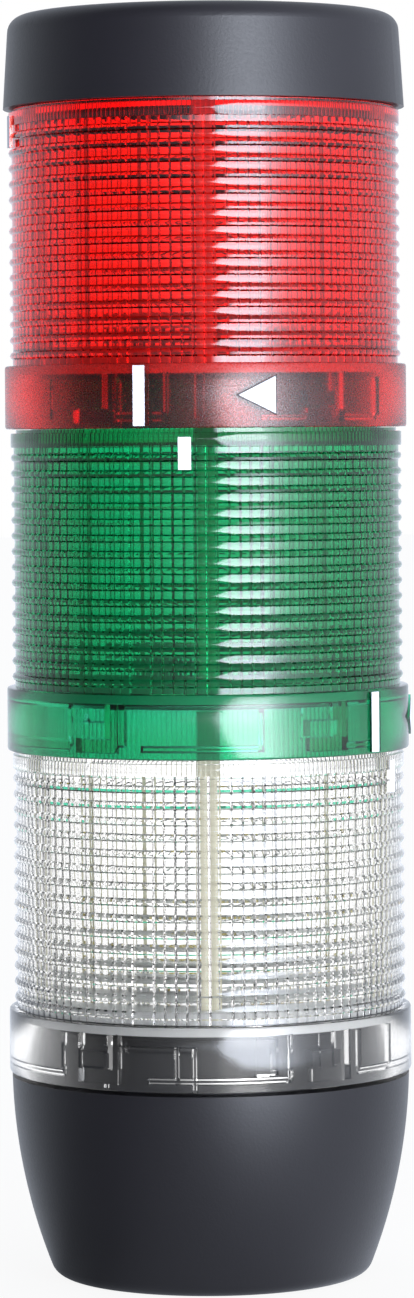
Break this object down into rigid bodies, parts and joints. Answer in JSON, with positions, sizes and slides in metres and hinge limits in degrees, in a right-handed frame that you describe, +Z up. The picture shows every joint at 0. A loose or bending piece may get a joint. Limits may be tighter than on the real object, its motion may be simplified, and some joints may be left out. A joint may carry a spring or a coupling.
{
  "type": "stack light",
  "caption": "Modular signal tower for a machine: red, green and clear ribbed light modules on a black base, under a black cap, each locked by a short turn.",
  "frame": {"origin": "centre of the base's underside, on the stack's axis, at the mouth of the tube socket", "axes": "+Z up along the stack, -Y towards the front, where the top module's marks face"},
  "size_m": [0.0705, 0.0701, 0.2192],
  "materials": {
    "black_plastic": "fine moulded texture",
    "red_lens": "transparent, ribbed",
    "green_lens": "transparent, ribbed",
    "clear_lens": "transparent, ribbed",
    "seal_rubber": "matte",
    "carrier_plastic": "moulded white",
    "terminal_plastic": "moulded",
    "brass": "rolled strip",
    "circuit_board": "white solder mask",
    "led_chip": "smooth",
    "screw_steel": "zinc plated"
  },
  "bodies": {
    "base": {"base_housing": "black_plastic", "tube_screw": "screw_steel", "terminal_block": "terminal_plastic", "terminal_clamps": "brass", "terminal_screws": "screw_steel", "base_contacts": "brass", "base_seal": "seal_rubber"},
    "clear_module": {"lens_clear": "clear_lens", "seal_clear": "seal_rubber", "carrier_clear": "carrier_plastic", "rails_clear": "brass", "led_board_clear": "circuit_board", "leds_clear": "led_chip", "board_screws_clear": "screw_steel", "feed_clips_clear": "brass"},
    "green_module": {"lens_green": "green_lens", "seal_green": "seal_rubber", "carrier_green": "carrier_plastic", "rails_green": "brass", "led_board_green": "circuit_board", "leds_green": "led_chip", "board_screws_green": "screw_steel", "feed_clips_green": "brass"},
    "red_module": {"lens_red": "red_lens", "seal_red": "seal_rubber", "carrier_red": "carrier_plastic", "rails_red": "brass", "led_board_red": "circuit_board", "leds_red": "led_chip", "board_screws_red": "screw_steel", "feed_clips_red": "brass"},
    "cap": {"cap": "black_plastic"}
  },
  "joints": [
    {"name": "clear_module_twist", "type": "hinge", "parent": "base", "child": "clear_module", "pos_m": [0, 0, 0.0356], "axis": [0, 0, 1], "range_deg": [0, 12]},
    {"name": "green_module_twist", "type": "hinge", "parent": "clear_module", "child": "green_module", "pos_m": [0, 0, 0.0914], "axis": [0, 0, 1], "range_deg": [0, 12]},
    {"name": "red_module_twist", "type": "hinge", "parent": "green_module", "child": "red_module", "pos_m": [0, 0, 0.1472], "axis": [0, 0, 1], "range_deg": [0, 12]},
    {"name": "cap_twist", "type": "hinge", "parent": "red_module", "child": "cap", "pos_m": [0, 0, 0.203], "axis": [0, 0, 1], "range_deg": [0, 12]}
  ]
}
